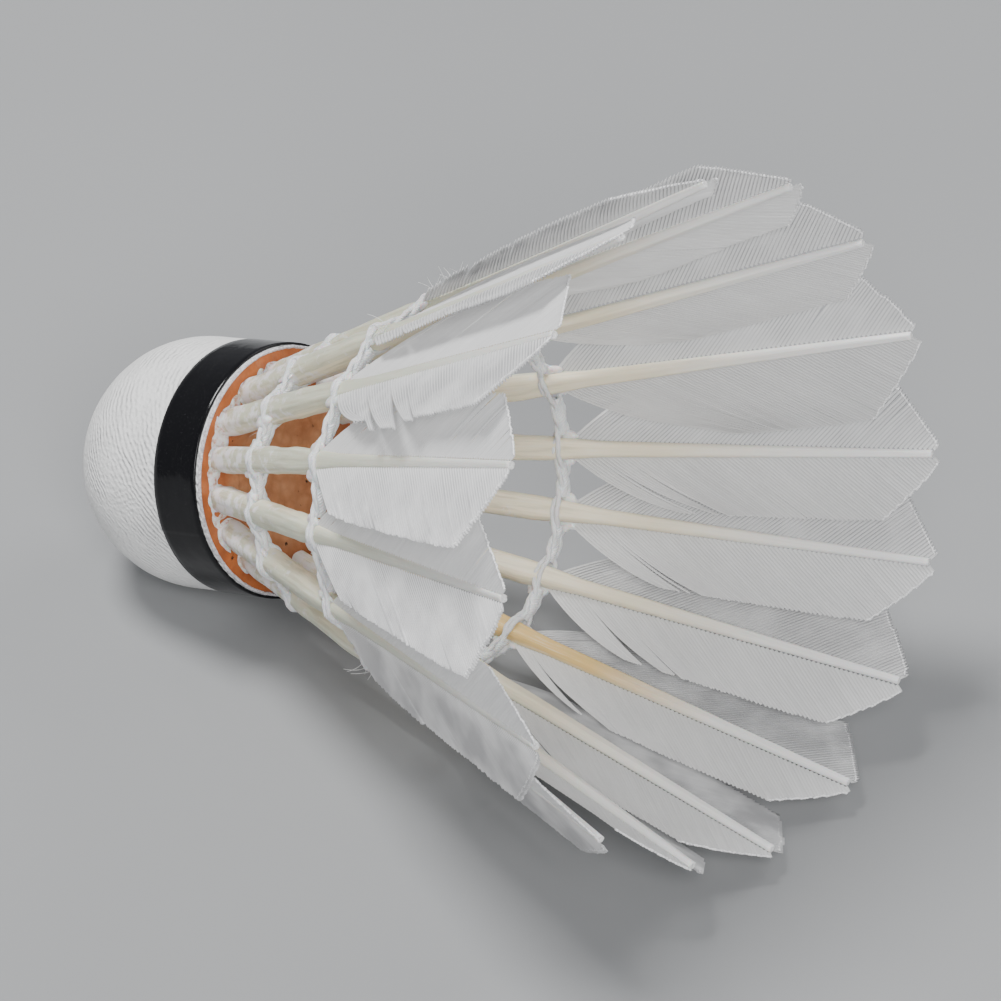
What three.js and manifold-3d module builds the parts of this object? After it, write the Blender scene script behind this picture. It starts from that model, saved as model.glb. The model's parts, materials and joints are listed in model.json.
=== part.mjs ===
// Feather badminton shuttlecock, lying on its side on the nose and one corner of a feather.
// Millimetres, +Z up, nose towards -X, open end of the skirt towards +X.
// The shuttle is built upright in its own frame (+Y from nose to skirt, y = 0 on the
// cork's flat top) and the whole group is then laid down.
import * as THREE from 'three';
import { mergeVertices } from 'three/addons/utils/BufferGeometryUtils.js';
import Module from 'manifold-3d';

const wasm = await Module();
wasm.setup();

// Driving dimensions
const featherCount = 16;
const headRadius = 13; // cover over the nose
const wallHeight = 11; // straight side of the head, from the dome's centre up to the flat top
const skirtHeight = 58.4; // cork top to feather tips, along the axis
const rootCircle = 9.9; // circle of the shafts where they enter the cork
const tipCircle = 32.2; // circle of the shaft tips
const fitGap = 0.3; // clearance between pieces that touch

// Head
const coverThickness = 0.75;
const coverUnderBand = 0.35;
const bandThickness = 0.25;
const bandProud = 0.1;
const bandWidth = 5.6;
const rimHeight = 0.4; // strip of cover left bare above the band
const corkRadius = headRadius - coverThickness - fitGap;
const topLayer = 6; // upper cork layer, which holds the shafts
const seatRadius = 6.5; // smooth middle of the cork top
const seatDepth = 0.2;
const headSegments = 32;
const domeSteps = 9;

// Feathers
const shaftDepth = 4; // length glued into the cork
const socketRadius = 1.45;
const shaftProfile = [ // distance from the cork along the shaft, and radius
  [-shaftDepth, socketRadius - fitGap],
  [0.8, socketRadius - fitGap],
  [1.8, 1.3],
  [21, 1.25],
  [27.5, 0.8],
  [45, 0.62],
];
const shaftTipRadius = 0.5;
const shaftSides = 8;
const bladeStart = 24.5; // distance along the shaft where the blade begins
const bladeThickness = 0.3;

// The half blade that lies over the next feather stands well out, and the half that lies
// under the last one keeps close to the skirt; camber is the hollow per mm across, squared.
const overBlade = { side: 1, width: 8.1, tilt: THREE.MathUtils.degToRad(15), camber: 0.004 };
const underBlade = { side: -1, width: 6.2, tilt: THREE.MathUtils.degToRad(3), camber: 0.011 };
const baseWidth = 1.4;
const quickOpening = 0.4; // share of the width that a blade gains just past its bare shaft
const quickPower = 12;
const cornerRounding = 0.2; // share of the width lost at the cut end
const cornerPower = 9;
const endCut = 6.4; // how far the end of a blade slopes back at its side edge
const endCutPower = 1.15;
const acrossSteps = 2;
const alongSteps = 7;

// Thread and glue
const threadHeights = { thread_lower: 8.7, thread_upper: 21.8 };
const threadThickness = 1;
const eyeletWall = 0.45;
const eyeletHeight = 1.2;
const glueHeight = 0.5;
const glueInner = 7.8;

const weldDistance = 1e-4;
const tiltSteps = 24; // halvings in the search for the resting tilt

// Natural irregularity of the sixteen feathers, from the one just past the top, round the
// near side: sideways lean of the tip in degrees, and its outward spread in mm.
const tipLean = [-2.5, -2.5, -2.5, -4, -1, -0.5, 1.5, 0, 0, -1, -1.2, -4, -3.5, -3.5, -3, -2.5];
const tipSpread = [0, 0.1, 0.5, 0.7, 1.2, 1.5, 0.5, 0.7, 0.6, -0.4, -0.8, -1, -0.7, -0.4, -0.1, 0];

const colours = {
  cork: { color: 0xb56d42, roughness: 0.9, metalness: 0 },
  cork_layer: { color: 0xc08457, roughness: 0.9, metalness: 0 },
  cover: { color: 0xf1efe9, roughness: 0.55, metalness: 0 },
  band: { color: 0x14161a, roughness: 0.25, metalness: 0 },
  shaft: { color: 0xe9dfb8, roughness: 0.45, metalness: 0 },
  blade: { color: 0xf4f5f4, roughness: 0.7, metalness: 0 },
  thread: { color: 0xece8dc, roughness: 0.8, metalness: 0 },
  glue: { color: 0xe6d9cf, roughness: 0.3, metalness: 0 },
};

function pieceMesh(name, geometry, slot) {
  const mesh = new THREE.Mesh(geometry, new THREE.MeshStandardMaterial(colours[slot]));
  mesh.name = name;
  return mesh;
}

// Solid of revolution about +Y through [radius, height] corners.
function turned(corners, segments) {
  const profile = corners.map(([radius, height]) => new THREE.Vector2(radius, height));
  return new THREE.LatheGeometry(profile, segments);
}

// Corners of a dome of the given radius, from its pole up to its equator.
function domeCorners(radius) {
  const corners = [];
  for (let step = 0; step <= domeSteps; step += 1) {
    const angle = (step / domeSteps) * (Math.PI / 2);
    const reach = step === 0 ? 0 : radius * Math.sin(angle);
    corners.push([reach, -wallHeight - radius * Math.cos(angle)]);
  }
  return corners;
}

function solidFrom(geometry) {
  const plain = geometry.clone();
  plain.deleteAttribute('normal');
  plain.deleteAttribute('uv');
  const merged = mergeVertices(plain, weldDistance);
  const mesh = new wasm.Mesh({
    numProp: 3,
    vertProperties: new Float32Array(merged.attributes.position.array),
    triVerts: new Uint32Array(merged.index.array),
  });
  return new wasm.Manifold(mesh);
}

function geometryFrom(solid) {
  const mesh = solid.getMesh();
  const geometry = new THREE.BufferGeometry();
  geometry.setAttribute('position', new THREE.BufferAttribute(mesh.vertProperties, 3));
  geometry.setIndex(new THREE.BufferAttribute(mesh.triVerts, 1));
  geometry.computeVertexNormals();
  return geometry;
}

// Direction square to the axis; angle 0 points up once the shuttle lies down, and the
// angle grows towards the near side.
function aroundAxis(angle) {
  return new THREE.Vector3(Math.sin(angle), 0, Math.cos(angle));
}

// A feather's frame: x across the blade towards the next feather, y along the shaft,
// z outwards, with its origin on the shaft's centre line at the cork's top.
function featherFrame(index) {
  const rootAngle = ((index + 0.5) / featherCount) * 2 * Math.PI;
  const tipAngle = rootAngle + THREE.MathUtils.degToRad(tipLean[index]);
  const root = aroundAxis(rootAngle).multiplyScalar(rootCircle);
  const tip = aroundAxis(tipAngle).multiplyScalar(tipCircle + tipSpread[index]);
  tip.y = skirtHeight;
  const along = tip.clone().sub(root);
  const length = along.length();
  along.normalize();
  const across = along.clone().cross(aroundAxis(tipAngle)).normalize();
  const outward = across.clone().cross(along);
  const matrix = new THREE.Matrix4().makeBasis(across, along, outward).setPosition(root);
  return { matrix, length, slope: along.y };
}

const frames = Array.from({ length: featherCount }, (_, index) => featherFrame(index));
const shaftLength = Math.hypot(skirtHeight, tipCircle - rootCircle);
const coneSine = (tipCircle - rootCircle) / shaftLength;
const coneCosine = skirtHeight / shaftLength;

// A cylinder on a shaft's centre line, between two distances along it.
function shaftCylinder(frame, radius, from, to) {
  const geometry = new THREE.CylinderGeometry(radius, radius, to - from, shaftSides);
  geometry.translate(0, (from + to) / 2, 0);
  return solidFrom(geometry.applyMatrix4(frame.matrix));
}

// The same cylinder on every shaft, joined into one solid.
function shaftCylinders(radius, from, to) {
  return wasm.Manifold.union(frames.map((frame) => shaftCylinder(frame, radius, from, to)));
}

function shaftRadiusAt(distance) {
  const profile = [...shaftProfile, [shaftLength, shaftTipRadius]];
  const next = profile.findIndex(([place]) => place >= distance);
  const [endPlace, endRadius] = profile[next];
  const [startPlace, startRadius] = profile[next - 1];
  return THREE.MathUtils.mapLinear(distance, startPlace, endPlace, startRadius, endRadius);
}

function shaftGeometry(length) {
  const side = shaftProfile.map(([distance, radius]) => [radius, distance]);
  return turned([[0, -shaftDepth], ...side, [shaftTipRadius, length], [0, length]], shaftSides);
}

// Share of the full half width at a share of the blade's length: it opens quickly out of
// the bare shaft and rounds in again at the cut end.
function widthShare(share) {
  const quick = 1 - (1 - share) ** quickPower;
  const opening = THREE.MathUtils.lerp(share, quick, quickOpening);
  return opening * (1 - cornerRounding * share ** cornerPower);
}

function bladeGeometry({ side, width: fullWidth, camber }) {
  const geometry = new THREE.BoxGeometry(1, 1, 1, acrossSteps, alongSteps, 1);
  const corners = geometry.attributes.position;
  const corner = new THREE.Vector3();
  for (let index = 0; index < corners.count; index += 1) {
    corner.fromBufferAttribute(corners, index);
    const acrossShare = side * corner.x + 0.5;
    const alongShare = corner.y + 0.5;
    const width = baseWidth + (fullWidth - baseWidth) * widthShare(alongShare);
    const bladeEnd = shaftLength - endCut * (acrossShare * width / fullWidth) ** endCutPower;
    const along = THREE.MathUtils.lerp(bladeStart, bladeEnd, alongShare);
    const innerEdge = shaftRadiusAt(along) + fitGap;
    const across = THREE.MathUtils.lerp(innerEdge, innerEdge + width, acrossShare);
    const hollow = camber * across * across;
    corners.setXYZ(index, side * across, along, corner.z * bladeThickness - hollow);
  }
  geometry.computeVertexNormals();
  return geometry;
}

function headPieces() {
  const splitHeight = -topLayer;
  const nose = turned([...domeCorners(corkRadius), [corkRadius, splitHeight], [0, splitHeight]],
    headSegments);

  const layerBase = splitHeight + fitGap;
  const layer = turned([
    [0, layerBase],
    [corkRadius, layerBase],
    [corkRadius, 0],
    [seatRadius + seatDepth, 0],
    [seatRadius, -seatDepth],
    [0, -seatDepth],
  ], headSegments);
  const sockets = shaftCylinders(socketRadius, -shaftDepth - fitGap, topLayer);
  const drilledLayer = geometryFrom(solidFrom(layer).subtract(sockets));

  const coverInner = corkRadius + fitGap;
  const bandTop = -rimHeight;
  const bandBase = bandTop - bandWidth;
  const underBand = coverInner + coverUnderBand;
  const cover = turned([
    ...domeCorners(headRadius),
    [headRadius, bandBase - fitGap],
    [underBand, bandBase - fitGap],
    [underBand, 0],
    [coverInner, 0],
    ...domeCorners(coverInner).reverse(),
  ], headSegments);

  const bandOuter = headRadius + bandProud;
  const bandInner = bandOuter - bandThickness;
  const band = turned([
    [bandInner, bandBase],
    [bandOuter, bandBase],
    [bandOuter, bandTop],
    [bandInner, bandTop],
    [bandInner, bandBase],
  ], headSegments);

  return [
    pieceMesh('cork_nose', nose, 'cork'),
    pieceMesh('cork_top_layer', drilledLayer, 'cork_layer'),
    pieceMesh('cork_cover', cover, 'cover'),
    pieceMesh('head_band', band, 'band'),
  ];
}

// Glue laid round the shafts on the cork's top.
function glueRing() {
  const base = fitGap;
  const top = base + glueHeight;
  const ring = turned([
    [glueInner, base],
    [corkRadius, base],
    [corkRadius - glueHeight, top],
    [glueInner + glueHeight, top],
    [glueInner, base],
  ], headSegments);
  const holes = shaftCylinders(shaftRadiusAt(topLayer) + fitGap, -shaftDepth, topLayer);
  return pieceMesh('root_glue', geometryFrom(solidFrom(ring).subtract(holes)), 'glue');
}

// A row of thread: an eyelet round every shaft, with the thread running between them.
function threadRow(name, height) {
  const distance = height / coneCosine;
  const radius = rootCircle + distance * coneSine;
  const half = threadThickness / 2;
  const run = turned([
    [radius - half, height],
    [radius, height - half],
    [radius + half, height],
    [radius, height + half],
    [radius - half, height],
  ], featherCount);
  run.rotateY(Math.PI / featherCount);
  const holeRadius = shaftRadiusAt(distance) + fitGap;
  const rise = eyeletHeight / 2;
  const eyelets = shaftCylinders(holeRadius + eyeletWall, distance - rise, distance + rise);
  const holes = shaftCylinders(holeRadius, distance - eyeletHeight, distance + eyeletHeight);
  const row = solidFrom(run).add(eyelets).subtract(holes);
  return pieceMesh(name, geometryFrom(row), 'thread');
}

function featherGroup(index, overGeometry, underGeometry) {
  const label = `feather_${String(index + 1).padStart(2, '0')}`;
  const group = new THREE.Group();
  group.applyMatrix4(frames[index].matrix);
  const shaft = pieceMesh(`${label}_shaft`, shaftGeometry(frames[index].length), 'shaft');
  const over = pieceMesh(`${label}_vane_over`, overGeometry, 'blade');
  const under = pieceMesh(`${label}_vane_under`, underGeometry, 'blade');
  over.rotation.y = -overBlade.tilt;
  under.rotation.y = -underBlade.tilt;
  group.add(shaft, over, under);
  return group;
}

function skirt() {
  const group = new THREE.Group();
  const overGeometry = bladeGeometry(overBlade);
  const underGeometry = bladeGeometry(underBlade);
  for (let index = 0; index < featherCount; index += 1) {
    group.add(featherGroup(index, overGeometry, underGeometry));
  }
  return group;
}

function lowestPoint(object) {
  return new THREE.Box3().setFromObject(object, true).min.z;
}

// Lay a group down: its own +Y turns to +X, tipped up by the given angle.
function layDown(group, tilt) {
  const side = new THREE.Vector3(0, -1, 0);
  const axis = new THREE.Vector3(Math.cos(tilt), 0, Math.sin(tilt));
  const up = side.clone().cross(axis);
  group.setRotationFromMatrix(new THREE.Matrix4().makeBasis(side, axis, up));
  group.updateMatrixWorld(true);
}

// The tilt at which the nose and the skirt touch the same floor.
function restingTilt(group, head, feathers) {
  let low = 0;
  let high = Math.PI / 4;
  for (let step = 0; step < tiltSteps; step += 1) {
    const middle = (low + high) / 2;
    layDown(group, middle);
    if (lowestPoint(feathers) < lowestPoint(head)) {
      low = middle;
    } else {
      high = middle;
    }
  }
  return (low + high) / 2;
}

const head = new THREE.Group();
head.add(...headPieces());
const feathers = skirt();
const shuttle = new THREE.Group();
shuttle.add(head, glueRing(), feathers);
for (const [name, height] of Object.entries(threadHeights)) {
  shuttle.add(threadRow(name, height));
}

layDown(shuttle, restingTilt(shuttle, head, feathers));
const extent = new THREE.Box3().setFromObject(shuttle, true);
const middle = extent.getCenter(new THREE.Vector3());
shuttle.position.set(-middle.x, -middle.y, -extent.min.z);

export default shuttle;
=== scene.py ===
"""Looks of a feather shuttlecock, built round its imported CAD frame. Blender 4.5.

Shapes are worked out in millimetres and put into the row frame in metres. A place on the
head or the skirt is a radius, a height above the cork's flat top and an angle round the
axis. A place on a feather is x across the blade, y along the shaft and z outwards, from
the point where the shaft leaves the cork.
"""
import json
import math

import bmesh
import bpy
import numpy as np
from mathutils import Matrix, Vector, noise


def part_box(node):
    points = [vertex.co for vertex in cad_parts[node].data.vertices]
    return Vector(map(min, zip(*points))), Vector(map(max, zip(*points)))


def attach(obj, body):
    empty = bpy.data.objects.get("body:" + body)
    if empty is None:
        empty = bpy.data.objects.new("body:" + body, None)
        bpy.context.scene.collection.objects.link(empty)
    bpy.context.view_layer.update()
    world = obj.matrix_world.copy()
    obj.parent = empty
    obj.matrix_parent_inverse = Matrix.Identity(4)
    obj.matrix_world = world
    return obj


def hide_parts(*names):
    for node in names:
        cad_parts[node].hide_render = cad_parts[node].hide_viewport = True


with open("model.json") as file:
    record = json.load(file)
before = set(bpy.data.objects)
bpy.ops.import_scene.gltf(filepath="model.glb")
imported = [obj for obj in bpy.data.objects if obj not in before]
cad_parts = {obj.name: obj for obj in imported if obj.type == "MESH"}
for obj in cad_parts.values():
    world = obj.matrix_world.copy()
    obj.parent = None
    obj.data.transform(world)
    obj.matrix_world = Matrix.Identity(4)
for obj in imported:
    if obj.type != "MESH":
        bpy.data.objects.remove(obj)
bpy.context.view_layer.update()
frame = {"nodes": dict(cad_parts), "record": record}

MM = 0.001
TAU = 2 * math.pi
FEATHERS = 16

# The head, in millimetres
cover_low, cover_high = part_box("cork_cover")
HEAD_RADIUS = (cover_high.y - cover_low.y) / 2 / MM
WALL_HEIGHT = 11.0
CORK_RADIUS = 11.95
BAND_TOP = -0.25
BAND_WIDTH = 5.75
RIM_WIDTH = 0.32
SEAT_RADIUS = 6.5
SEAT_DEPTH = 0.2

# The feathers and the thread, in millimetres
SHAFT_DEPTH = 4.0
SHAFT_PLACES = [0, 1.8, 21, 27.5, 45, 62.5]
SHAFT_RADII = [1.2, 1.3, 1.25, 0.82, 0.6, 0.38]
BLADE_START = 24.5
BLADE_BASE = 1.4
BLADE_GAP = 0.3
TOOTH = 0.35
END_CUT = 6.4
BARB_PITCH = 0.5
BARB_PLACES = [24, 30, 38, 50]  # where a vane states the angles of its barbs
BARB_WAVE = math.pi / 10  # gives a wave texture one band per barb
THREAD_HEIGHTS = {"thread_lower": 8.7, "thread_upper": 21.8}
STRAND_RADIUS = 0.26
STRAND_STEPS = 36
THREAD_HAIRS = 46
FIBRE_STEPS = 9

# The camera, on the photo's line of sight
CAMERA_AIM = Vector((0.0055, 0.0021, 0.0229))
CAMERA_DISTANCE = 0.4905
CAMERA_AZIMUTH = math.radians(38.6)
CAMERA_ELEVATION = math.radians(34.9)
CAMERA_ROLL = math.radians(0.95)
CAMERA_LENS = 179.8
CAMERA_SENSOR = 36.0
FLOOR_HALF = 2.0

# ---------------------------------------------------------------- local frames

seat = next(mount for mount in frame["record"]["mounts"] if mount["name"] == "cork_seat")
AXIS = np.array(seat["axis"]) / np.linalg.norm(seat["axis"])
CENTRE = np.array(seat["pos_m"]) / MM + AXIS * SEAT_DEPTH
SIDE = np.array([0.0, -1.0, 0.0])
UP = np.cross(SIDE, AXIS)


def around(angle):
    """Direction square to the axis; the angle grows from the top towards the near side."""
    return np.sin(angle)[..., None] * SIDE + np.cos(angle)[..., None] * UP


def place(radius, height, angle):
    """Points of the row frame at these radii, heights and angles."""
    radius, height, angle = np.broadcast_arrays(radius, height, angle)
    return CENTRE + height[..., None] * AXIS + radius[..., None] * around(angle)


def round_angles(count):
    """Angles of this many even steps round a circle."""
    return np.arange(count) / count * TAU


class Feather:
    """One feather's frame, read from its CAD shaft."""

    def __init__(self, number):
        self.number = number
        self.label = f"feather_{number:02d}"
        corners = np.array([v.co for v in frame["nodes"][self.label + "_shaft"].data.vertices])
        corners /= MM
        heights = (corners - CENTRE) @ AXIS
        foot = corners[heights < heights.min() + 1.0].mean(axis=0)
        self.tip = corners[heights > heights.max() - 0.5].mean(axis=0)
        self.along = (self.tip - foot) / np.linalg.norm(self.tip - foot)
        self.root = foot + self.along * SHAFT_DEPTH
        self.length = float(np.linalg.norm(self.tip - self.root))
        spoke = self.tip - CENTRE
        spoke -= AXIS * (spoke @ AXIS)
        across = np.cross(self.along, spoke)
        self.across = across / np.linalg.norm(across)
        self.outward = np.cross(self.across, self.along)
        self.slope = float(self.along @ AXIS)

    def put(self, points):
        """Points of the row frame for points of this feather's frame."""
        basis = np.stack([self.across, self.along, self.outward])
        return self.root + points @ basis

    def at_height(self, height):
        """Radius and angle of the shaft's centre line at a height above the cork."""
        point = self.root + self.along * (height / self.slope) - CENTRE
        sideways = float(point @ SIDE)
        upwards = float(point @ UP)
        return math.hypot(sideways, upwards), math.atan2(sideways, upwards) % TAU


feathers = [Feather(number) for number in range(1, FEATHERS + 1)]
root_radius, _ = feathers[0].at_height(0)
CONE_COSINE = feathers[0].slope


def shaft_radius(distance):
    """Mean radius of a shaft at a distance from the cork."""
    return np.interp(distance, SHAFT_PLACES, SHAFT_RADII)


# ---------------------------------------------------------------- mesh building


class Shape:
    """Grids of points gathered into one mesh, each with a flat map for its material."""

    def __init__(self):
        self.points = []
        self.faces = []
        self.maps = []
        self.slots = []
        self.count = 0

    def grid(self, points, flat_u, flat_v, wrap=False, slot=0):
        """A sheet of points[v, u]; with wrap, the last column joins the first."""
        rows, columns = points.shape[:2]
        index = np.arange(rows * columns).reshape(rows, columns) + self.count
        if wrap:
            index = np.hstack([index, index[:, :1]])
        flat = np.stack(np.meshgrid(flat_u, flat_v), axis=-1)
        self.faces.append(self.quads(index))
        self.maps.append(self.quads(flat))
        self.points.append(points.reshape(-1, 3))
        self.slots.append(np.full(len(self.faces[-1]), slot))
        self.count += rows * columns

    @staticmethod
    def quads(table):
        """The four corner values of every cell of a table."""
        corners = [table[:-1, :-1], table[:-1, 1:], table[1:, 1:], table[1:, :-1]]
        stacked = np.stack(corners, axis=2)
        return stacked.reshape((-1, 4) + table.shape[2:])

    def tube(self, path, radius, sides, slot=0, turns=0.0, ridge=0.0):
        """A tube along a path; ridge and turns give it the look of twisted plies."""
        tangent = np.gradient(path, axis=0)
        tangent /= np.linalg.norm(tangent, axis=1)[:, None]
        first = np.cross(tangent, AXIS)
        first /= np.linalg.norm(first, axis=1)[:, None] + 1e-9
        second = np.cross(tangent, first)
        step = np.linalg.norm(np.diff(path, axis=0), axis=1)
        run = np.concatenate([[0], np.cumsum(step)])
        angle = np.arange(sides) * TAU / sides
        twist = np.cos(2 * (angle[None, :] - turns * run[:, None]))
        reach = np.broadcast_to(radius, run.shape)[:, None] * (1 + ridge * twist)
        offset = (np.cos(angle)[None, :, None] * first[:, None]
                  + np.sin(angle)[None, :, None] * second[:, None])
        points = path[:, None] + reach[..., None] * offset
        self.grid(points, np.linspace(0, 1, sides + 1), run, wrap=True, slot=slot)

    def piece(self, name, materials, slot, *nodes, weld=False):
        """The mesh as a finished piece that rides on the root body."""
        mesh = bpy.data.meshes.new(name)
        points = np.concatenate(self.points) * MM
        points[:, 2] = np.maximum(points[:, 2], 0.0)  # bends up where it meets the floor
        faces = np.concatenate(self.faces)
        mesh.from_pydata(points.tolist(), [], faces.tolist())
        flat = mesh.uv_layers.new(name="flat")
        flat.uv.foreach_set("vector", np.concatenate(self.maps).astype(np.float32).ravel())
        mesh.polygons.foreach_set("material_index", np.concatenate(self.slots))
        for material in materials:
            mesh.materials.append(material)
        if weld:
            weld_points(mesh)
        mesh.shade_smooth()
        piece = bpy.data.objects.new(name, mesh)
        bpy.context.scene.collection.objects.link(piece)
        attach(piece, "root")
        if nodes:
            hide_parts(*nodes)
        return piece


def weld_points(mesh, distance=2e-6):
    """Joins the points of rows that close up on the axis."""
    work = bmesh.new()
    work.from_mesh(mesh)
    bmesh.ops.remove_doubles(work, verts=work.verts, dist=distance)
    work.to_mesh(mesh)
    work.free()


def ripple(points, size, seed=0.0):
    """Smooth noise from -1 to 1 at points in millimetres, with features of this size."""
    shift = Vector((seed, seed * 1.7, -seed))
    flat = points.reshape(-1, 3) / size
    values = [noise.noise(Vector(point) + shift) for point in flat]
    return np.array(values).reshape(points.shape[:-1])


# ---------------------------------------------------------------- materials


class Paint:
    """A material of one Principled shader, with short names for its nodes."""

    def __init__(self, name, roughness, **values):
        self.material = bpy.data.materials.new(name)
        self.material.use_nodes = True
        self.tree = self.material.node_tree
        self.shader = self.tree.nodes["Principled BSDF"]
        self.output = self.tree.nodes["Material Output"]
        self.shader.inputs["Roughness"].default_value = roughness
        for key, value in values.items():
            self.shader.inputs[key.replace("_", " ")].default_value = value

    def node(self, kind, inputs=(), **settings):
        """A node with its inputs linked or set, and its settings."""
        made = self.tree.nodes.new(kind)
        for key, value in settings.items():
            setattr(made, key, value)
        for key, value in dict(inputs).items():
            if isinstance(value, bpy.types.NodeSocket):
                self.tree.links.new(value, made.inputs[key])
            else:
                made.inputs[key].default_value = value
        return made

    def link(self, socket, target):
        """Joins a socket to an input of the shader."""
        self.tree.links.new(socket, self.shader.inputs[target])

    def flat(self, scale=(1, 1, 1), turn=0.0):
        """Flat-map coordinates times scale."""
        source = self.node("ShaderNodeUVMap", uv_map="flat").outputs["UV"]
        return self.mapped(source, scale, (0, 0, turn))

    def solid(self, scale=(1, 1, 1), turn=(0, 0, 0)):
        """Object coordinates, in millimetres times scale."""
        source = self.node("ShaderNodeTexCoord").outputs["Object"]
        return self.mapped(source, tuple(part / MM for part in scale), turn)

    def mapped(self, source, scale, turn):
        """Coordinates, scaled and turned."""
        inputs = {"Vector": source, "Scale": scale, "Rotation": turn}
        return self.node("ShaderNodeMapping", inputs).outputs["Vector"]

    def noise(self, vector, scale=1.0, detail=3.0, rough=0.5):
        """Cloudy noise from 0 to 1."""
        inputs = {"Vector": vector, "Scale": scale, "Detail": detail, "Roughness": rough}
        return self.node("ShaderNodeTexNoise", inputs).outputs["Fac"]

    def wave(self, vector, scale, distortion=0.0, detail=2.0, **settings):
        """Parallel bands from 0 to 1."""
        inputs = {"Vector": vector, "Scale": scale, "Distortion": distortion,
                  "Detail": detail}
        return self.node("ShaderNodeTexWave", inputs, **settings).outputs["Fac"]

    def cells(self, vector, scale):
        """Distance to the middle of the nearest grain."""
        inputs = {"Vector": vector, "Scale": scale}
        return self.node("ShaderNodeTexVoronoi", inputs).outputs["Distance"]

    def ramp(self, factor, *stops):
        """A colour ramp from (place, colour) pairs."""
        made = self.node("ShaderNodeValToRGB", {"Fac": factor})
        elements = made.color_ramp.elements
        while len(elements) < len(stops):
            elements.new(0.5)
        for element, (position, colour) in zip(elements, stops):
            element.position = position
            element.color = (*colour, 1.0)
        return made.outputs["Color"]

    def span(self, value, low, high, to_low=0.0, to_high=1.0):
        """The value, moved from one range to another and held inside it."""
        inputs = {"Value": value, "From Min": low, "From Max": high,
                  "To Min": to_low, "To Max": to_high}
        return self.node("ShaderNodeMapRange", inputs).outputs["Result"]

    def blend(self, factor, first, second):
        """Mixes two colours; either may be a plain colour."""
        made = self.node("ShaderNodeMix", data_type="RGBA")
        for socket, value in ((0, factor), (6, first), (7, second)):
            if isinstance(value, bpy.types.NodeSocket):
                self.tree.links.new(value, made.inputs[socket])
            elif isinstance(value, tuple):
                made.inputs[socket].default_value = (*value, 1.0)
            else:
                made.inputs[socket].default_value = value
        return made.outputs[2]

    def math(self, operation, first, second):
        """One sum of two values."""
        return self.node("ShaderNodeMath", {0: first, 1: second}, operation=operation).outputs[0]

    def bump(self, *layers):
        """Bumps on the surface: (height, depth in millimetres) pairs, one over the other."""
        normal = None
        for height, depth in layers:
            inputs = {"Height": height, "Strength": 1.0, "Distance": depth * MM}
            if normal is not None:
                inputs["Normal"] = normal
            normal = self.node("ShaderNodeBump", inputs).outputs["Normal"]
        self.link(normal, "Normal")

    def translucent(self, share, colour):
        """Lets part of the light through to the other face of a thin sheet."""
        behind = self.node("ShaderNodeBsdfTranslucent")
        if isinstance(colour, bpy.types.NodeSocket):
            self.tree.links.new(colour, behind.inputs["Color"])
        mix = self.node("ShaderNodeMixShader", {0: share})
        self.tree.links.new(self.shader.outputs[0], mix.inputs[1])
        self.tree.links.new(behind.outputs[0], mix.inputs[2])
        self.tree.links.new(mix.outputs[0], self.output.inputs["Surface"])


def cover_paint():
    """White skin with a fine weave and arcs of faint ribs."""
    paint = Paint("cover_skin", 0.55, Specular_IOR_Level=0.35)
    cloud = paint.noise(paint.solid(), 0.35, 4)
    speck = paint.noise(paint.solid(), 2.2, 3)
    tone = paint.ramp(cloud, (0.3, (0.80, 0.80, 0.79)), (0.7, (0.89, 0.89, 0.88)))
    paint.link(paint.blend(paint.span(speck, 0.35, 0.75, 0.0, 0.22), tone, (0.70, 0.70, 0.69)),
               "Base Color")
    ribs = paint.wave(paint.solid(turn=(0.5, 0.9, 0.35)), 0.55, 5.0, bands_direction="X",
                      detail=2.0)
    mask = paint.span(paint.noise(paint.solid(), 0.22, 1), 0.38, 0.62, 0.25, 1.0)
    grain = paint.cells(paint.solid(), 2.1)
    paint.link(paint.span(speck, 0.3, 0.7, 0.5, 0.68), "Roughness")
    paint.bump((paint.math("MULTIPLY", ribs, mask), 0.09), (grain, 0.10), (speck, 0.12))
    return paint.material


def fibre_paint():
    """The cut edge of the skin, felted and greyish white."""
    paint = Paint("cover_edge", 0.9)
    fuzz = paint.noise(paint.solid(), 3.5, 5, 0.7)
    paint.link(paint.ramp(fuzz, (0.35, (0.42, 0.38, 0.40)), (0.62, (0.82, 0.80, 0.82))),
               "Base Color")
    paint.bump((fuzz, 0.2))
    return paint.material


def band_paint():
    """Glossy black film with a few fine scratches."""
    paint = Paint("band_film", 0.12, Specular_IOR_Level=0.3)
    smear = paint.noise(paint.solid(), 0.25, 4)
    dust = paint.noise(paint.solid(), 5.0, 2)
    scratch = paint.noise(paint.flat((0.12, 4.0, 1.0)), 1.0, 4)
    marks = paint.span(scratch, 0.66, 0.72)
    tone = paint.ramp(dust, (0.6, (0.004, 0.004, 0.005)), (0.9, (0.025, 0.025, 0.027)))
    paint.link(paint.blend(marks, tone, (0.02, 0.02, 0.02)), "Base Color")
    paint.link(paint.span(smear, 0.3, 0.75, 0.07, 0.2), "Roughness")
    paint.bump((smear, 0.12), (scratch, 0.006))
    return paint.material


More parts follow.
